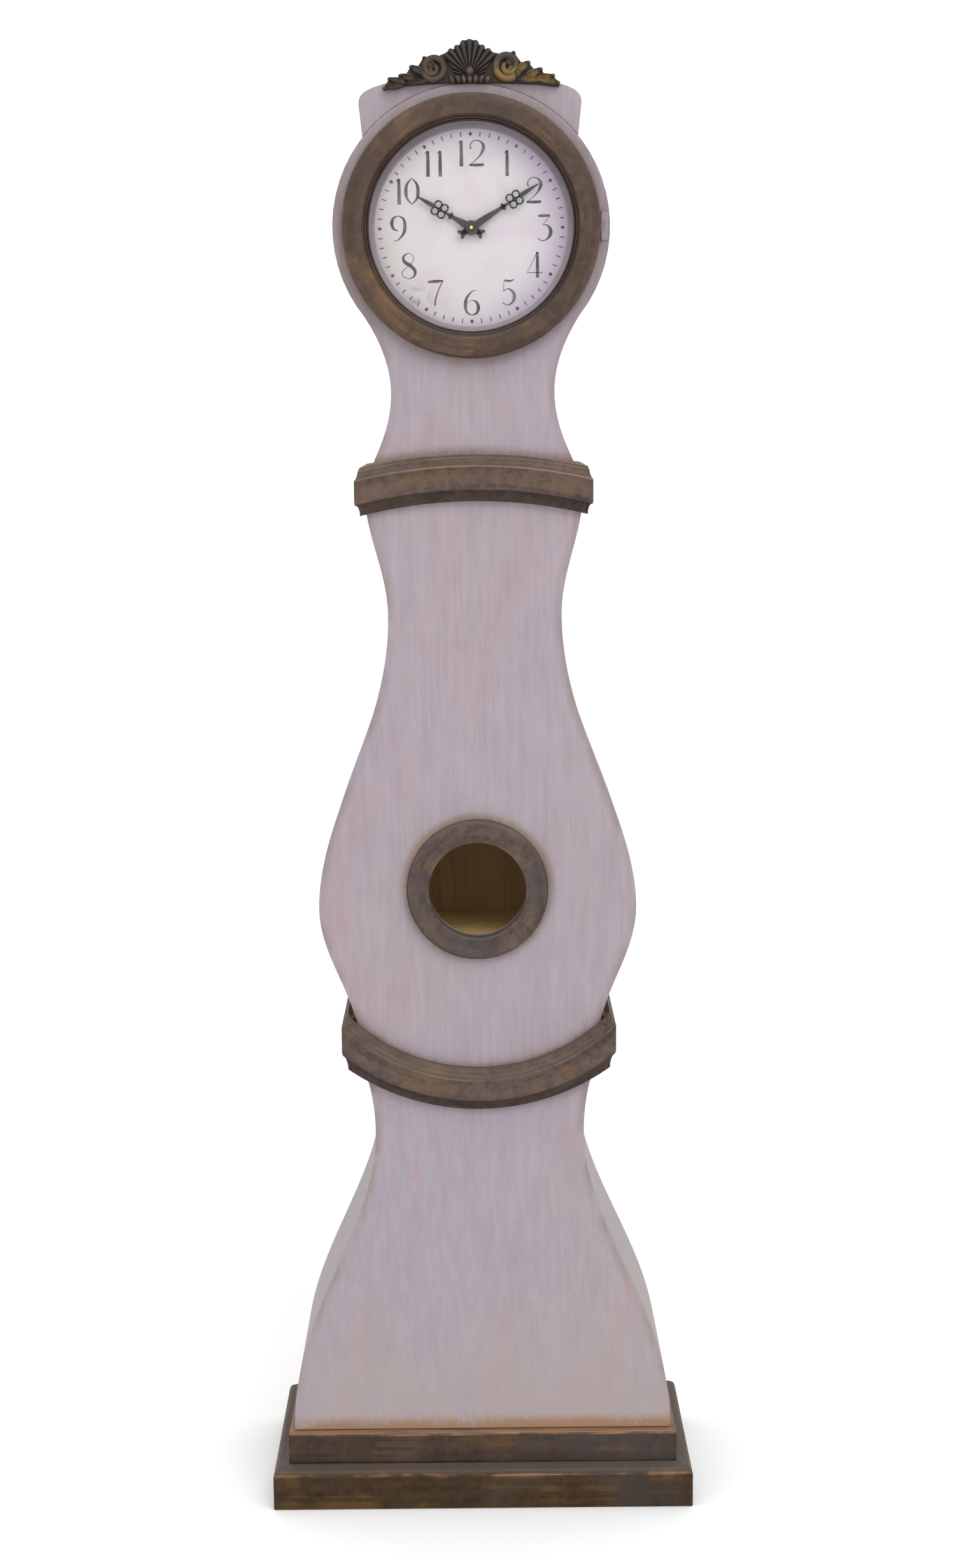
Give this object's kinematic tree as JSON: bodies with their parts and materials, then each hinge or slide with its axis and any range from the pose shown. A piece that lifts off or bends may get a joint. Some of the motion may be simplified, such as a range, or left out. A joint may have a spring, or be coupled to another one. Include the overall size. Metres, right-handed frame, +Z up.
{
  "type": "longcase clock",
  "caption": "Pear-shaped painted longcase clock with a round glazed dial door, round belly window, arched mouldings, stepped plinth, carved crest and a battery movement behind a rear hatch.",
  "frame": {"origin": "on the floor under the middle of the clock's bounding box", "axes": "+Z up along the clock's height, -Y out of the dial towards the viewer, +X to the viewer's right"},
  "size_m": [0.589, 0.2965, 2],
  "materials": {
    "case_paint": "dusty lavender-grey brushed paint, rubbed",
    "brown_paint": "dark brown glaze with worn tan edges",
    "crest_brown": "dark brown carving with gold rubs",
    "raw_wood": "bare pine",
    "dark_wood": "dark stained pine",
    "dial_enamel": "aged white enamel paint",
    "glass": "clear",
    "black_steel": "black",
    "brass": "aged brass",
    "steel": "bright",
    "black_plastic": "moulded, matt",
    "white_plastic": "moulded, matt",
    "board_green": "lacquered board",
    "copper": "enamelled copper wire",
    "battery_skin": "printed sleeve, plain"
  },
  "bodies": {
    "case": {"plinth_lower_front": "brown_paint", "plinth_lower_left": "brown_paint", "plinth_lower_right": "brown_paint", "plinth_upper_front": "brown_paint", "plinth_upper_left": "brown_paint", "plinth_upper_right": "brown_paint", "base_front_panel": "case_paint", "base_side_left": "case_paint", "base_side_right": "case_paint", "base_floor": "raw_wood", "lower_moulding_front": "brown_paint", "lower_moulding_left": "brown_paint", "lower_moulding_right": "brown_paint", "trunk_front_panel": "case_paint", "trunk_side_left": "case_paint", "trunk_side_right": "case_paint", "window_ring": "brown_paint", "window_shelf": "raw_wood", "back_board": "dark_wood", "upper_moulding_front": "brown_paint", "upper_moulding_left": "brown_paint", "upper_moulding_right": "brown_paint", "hood_front_panel": "case_paint", "hood_side_left": "case_paint", "hood_side_right": "case_paint", "pediment_board": "case_paint", "hood_roof": "case_paint", "hood_back_board": "dark_wood", "crest_shell": "crest_brown", "crest_scroll_left": "crest_brown", "crest_scroll_right": "crest_brown", "bezel_hinge_case_leaf": "brass", "bezel_hinge_pin": "steel", "bezel_magnet": "steel", "dial_plate": "dial_enamel", "dial_batten_lower": "raw_wood", "dial_batten_upper": "raw_wood", "hatch_hinge_case_leaf": "brass", "hatch_hinge_pin": "steel", "movement_case": "black_plastic", "movement_cover": "black_plastic", "movement_bush": "brass", "bush_nut": "brass", "circuit_board": "board_green", "motor_coil": "copper"},
    "bezel_door": {"bezel_ring": "brown_paint", "bezel_glass": "glass", "glass_bead": "dark_wood", "bezel_hinge_door_leaf": "brass"},
    "hatch_door": {"hatch_panel": "dark_wood", "hatch_hinge_door_leaf": "brass", "hatch_knob": "brass"},
    "minute_work": {"minute_arbor": "steel", "minute_hand": "black_steel", "hand_nut": "brass"},
    "hour_work": {"hour_wheel": "brass", "hour_hand": "black_steel"},
    "motion_work": {"motion_wheel": "brass", "setting_knob": "white_plastic"},
    "battery_cell": {"battery": "battery_skin"}
  },
  "joints": [
    {"name": "bezel_swing", "type": "hinge", "parent": "case", "child": "bezel_door", "pos_m": [0.1725, -0.06825, 1.762], "axis": [0, 0, 1], "range_deg": [0, 105]},
    {"name": "hatch_swing", "type": "hinge", "parent": "case", "child": "hatch_door", "pos_m": [0.055, 0.14575, 1.757], "axis": [0, 0, -1], "range_deg": [0, 110]},
    {"name": "minute_turn", "type": "hinge", "parent": "case", "child": "minute_work", "pos_m": [0, -0.05045, 1.762], "axis": [0, 1, 0], "continuous": true},
    {"name": "hour_turn", "type": "hinge", "parent": "case", "child": "hour_work", "pos_m": [0, -0.05045, 1.762], "axis": [0, 1, 0], "continuous": true},
    {"name": "motion_turn", "type": "hinge", "parent": "case", "child": "motion_work", "pos_m": [0.012, -0.05045, 1.762], "axis": [0, 1, 0], "continuous": true},
    {"name": "battery_slide", "type": "slide", "parent": "case", "child": "battery_cell", "axis": [0, 1, 0], "range_m": [0, 0.03]}
  ],
  "couplings": [
    {"joint": "hour_turn", "follows": "minute_turn", "ratio": 0.083333},
    {"joint": "motion_turn", "follows": "minute_turn", "ratio": -0.33333}
  ]
}
